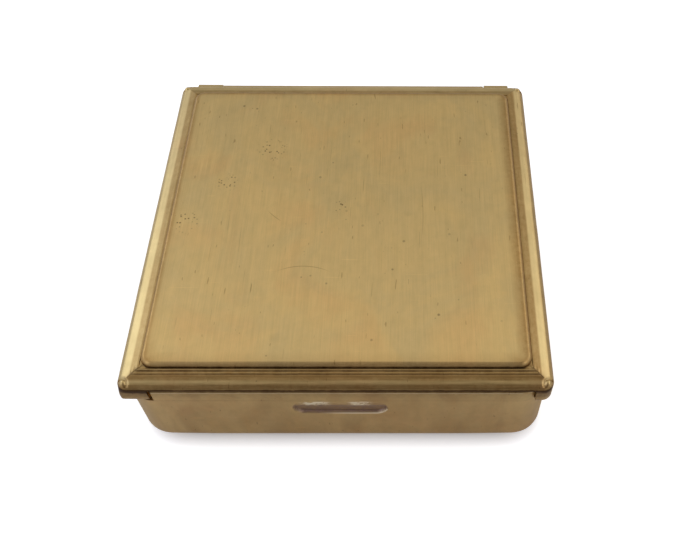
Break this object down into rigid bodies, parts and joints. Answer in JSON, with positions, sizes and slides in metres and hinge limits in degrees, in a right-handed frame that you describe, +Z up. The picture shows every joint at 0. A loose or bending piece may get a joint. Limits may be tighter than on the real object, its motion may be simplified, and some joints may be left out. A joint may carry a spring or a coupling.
{
  "type": "pill box",
  "caption": "Small square brass pill box with a raised brushed panel and moulded border on a hinged lid, a thumb recess in the tray and crossed dividers inside.",
  "frame": {"origin": "middle of the flat underside, below the middle of the lid", "axes": "+Z up, -Y to the front with the thumb recess, +Y to the hinge, +X to the right seen from the front"},
  "size_m": [0.0446, 0.0459, 0.0135],
  "materials": {
    "polished_brass": "worn polish with fine lines",
    "brushed_brass": "satin, brushed front to back, tarnished",
    "tray_brass": "dull satin, tarnished",
    "plain_brass": "plain rolled sheet",
    "steel": "drawn wire and spring strip"
  },
  "bodies": {
    "tray": {"tray_shell": "tray_brass", "tray_bezel": "plain_brass", "tray_hinge_leaf": "plain_brass", "hinge_pin": "steel", "catch_spring": "steel", "divider_crosswise": "plain_brass", "divider_lengthwise": "plain_brass"},
    "lid": {"lid_frame": "polished_brass", "lid_panel": "brushed_brass", "lid_hinge_leaf": "plain_brass", "lid_catch_tongue": "plain_brass"}
  },
  "joints": [
    {"name": "lid_hinge", "type": "hinge", "parent": "tray", "child": "lid", "pos_m": [0, 0.0226, 0.0109], "axis": [-1, 0, 0], "range_deg": [0, 105]}
  ]
}
